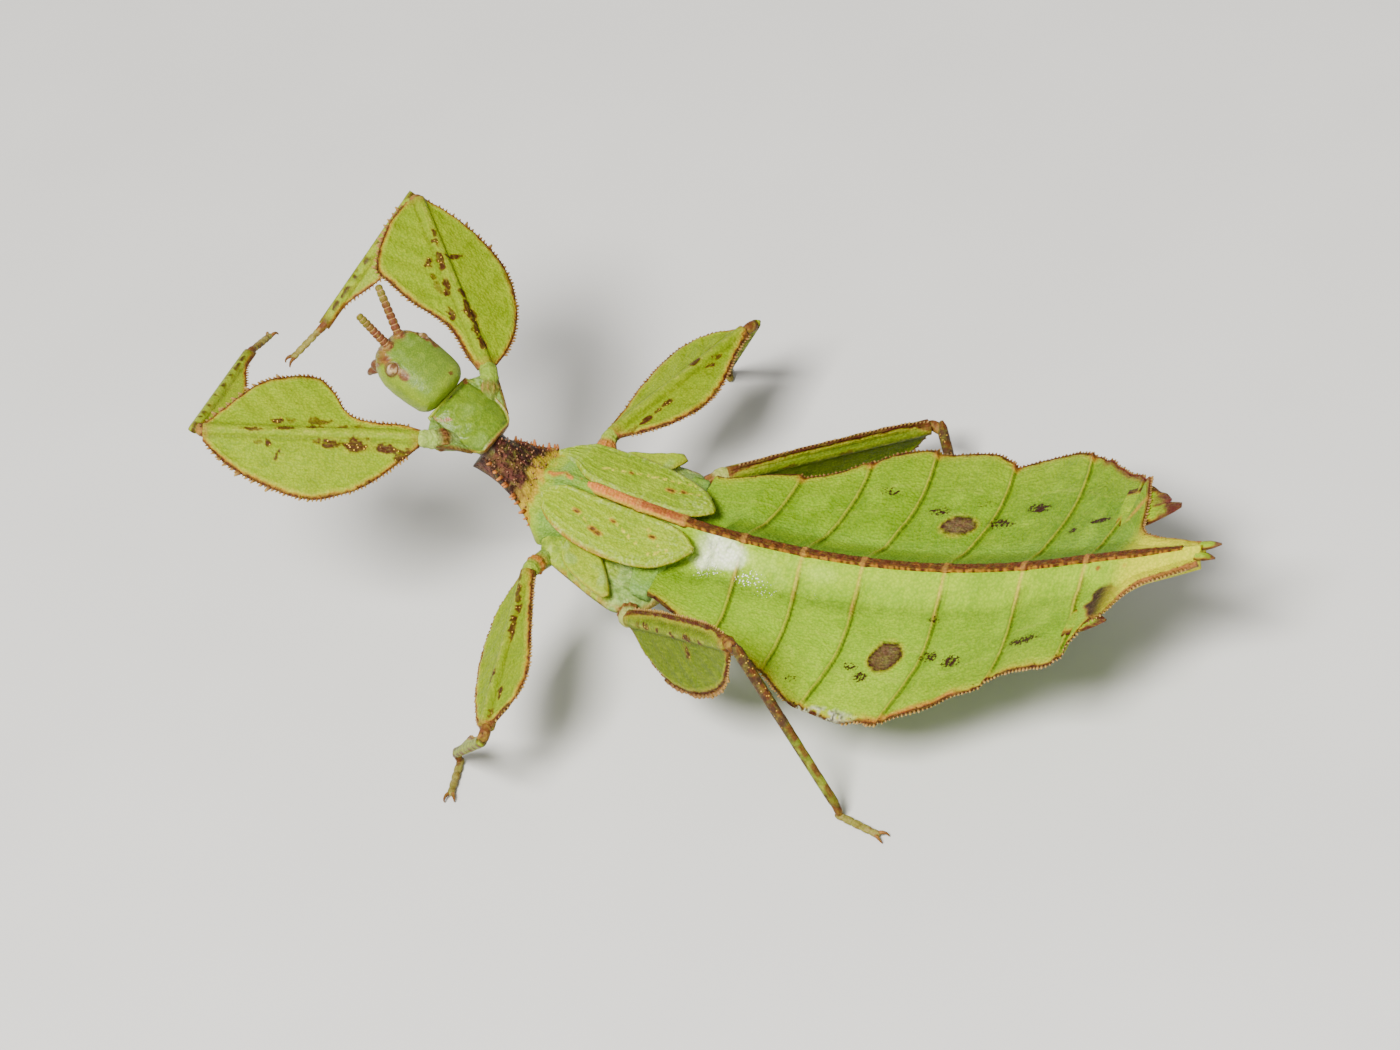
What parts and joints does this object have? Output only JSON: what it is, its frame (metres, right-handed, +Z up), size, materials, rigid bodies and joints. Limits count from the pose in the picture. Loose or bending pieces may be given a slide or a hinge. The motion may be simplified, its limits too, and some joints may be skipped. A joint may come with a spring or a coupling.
{
  "type": "leaf insect",
  "caption": "Young leaf insect standing with its toothed, leaf-like fore legs held up: a flat scalloped abdomen with a ridge and eye spots, wing pads and an egg-shaped head.",
  "frame": {"origin": "centre of the bounding box's base, on the floor the insect stands on", "axes": "+X along the body towards the head, +Y towards the insect's left, +Z up"},
  "size_m": [0.0692, 0.0456, 0.0242],
  "materials": {
    "leaf_green": "satin, finely granular",
    "shield_green": "satin",
    "head_green": "satin",
    "collar_brown": "satin, granular",
    "feeler_brown": "satin",
    "shin_olive": "satin",
    "eye": "glossy"
  },
  "bodies": {
    "root": {"abdomen": "leaf_green", "metathorax": "leaf_green", "mesothorax": "collar_brown", "prothorax": "shield_green", "head": "head_green", "eye_left": "eye", "eye_right": "eye", "antenna_left": "feeler_brown", "antenna_right": "feeler_brown", "forewing_pad_left": "leaf_green", "forewing_pad_right": "leaf_green", "hindwing_pad_left": "leaf_green", "hindwing_pad_right": "leaf_green", "cercus_left": "leaf_green", "cercus_right": "leaf_green", "coxa_fore_left": "shield_green", "femur_fore_left": "leaf_green", "tibia_fore_left": "shin_olive", "tarsus_fore_left": "shin_olive", "coxa_fore_right": "shield_green", "femur_fore_right": "leaf_green", "tibia_fore_right": "shin_olive", "tarsus_fore_right": "shin_olive", "coxa_mid_left": "shield_green", "femur_mid_left": "leaf_green", "tibia_mid_left": "shin_olive", "tarsus_mid_left": "shin_olive", "coxa_mid_right": "shield_green", "femur_mid_right": "leaf_green", "tibia_mid_right": "shin_olive", "tarsus_mid_right": "shin_olive", "coxa_hind_left": "shield_green", "femur_hind_left": "leaf_green", "tibia_hind_left": "shin_olive", "tarsus_hind_left": "shin_olive", "coxa_hind_right": "shield_green", "femur_hind_right": "leaf_green", "tibia_hind_right": "shin_olive", "tarsus_hind_right": "shin_olive"}
  },
  "joints": []
}
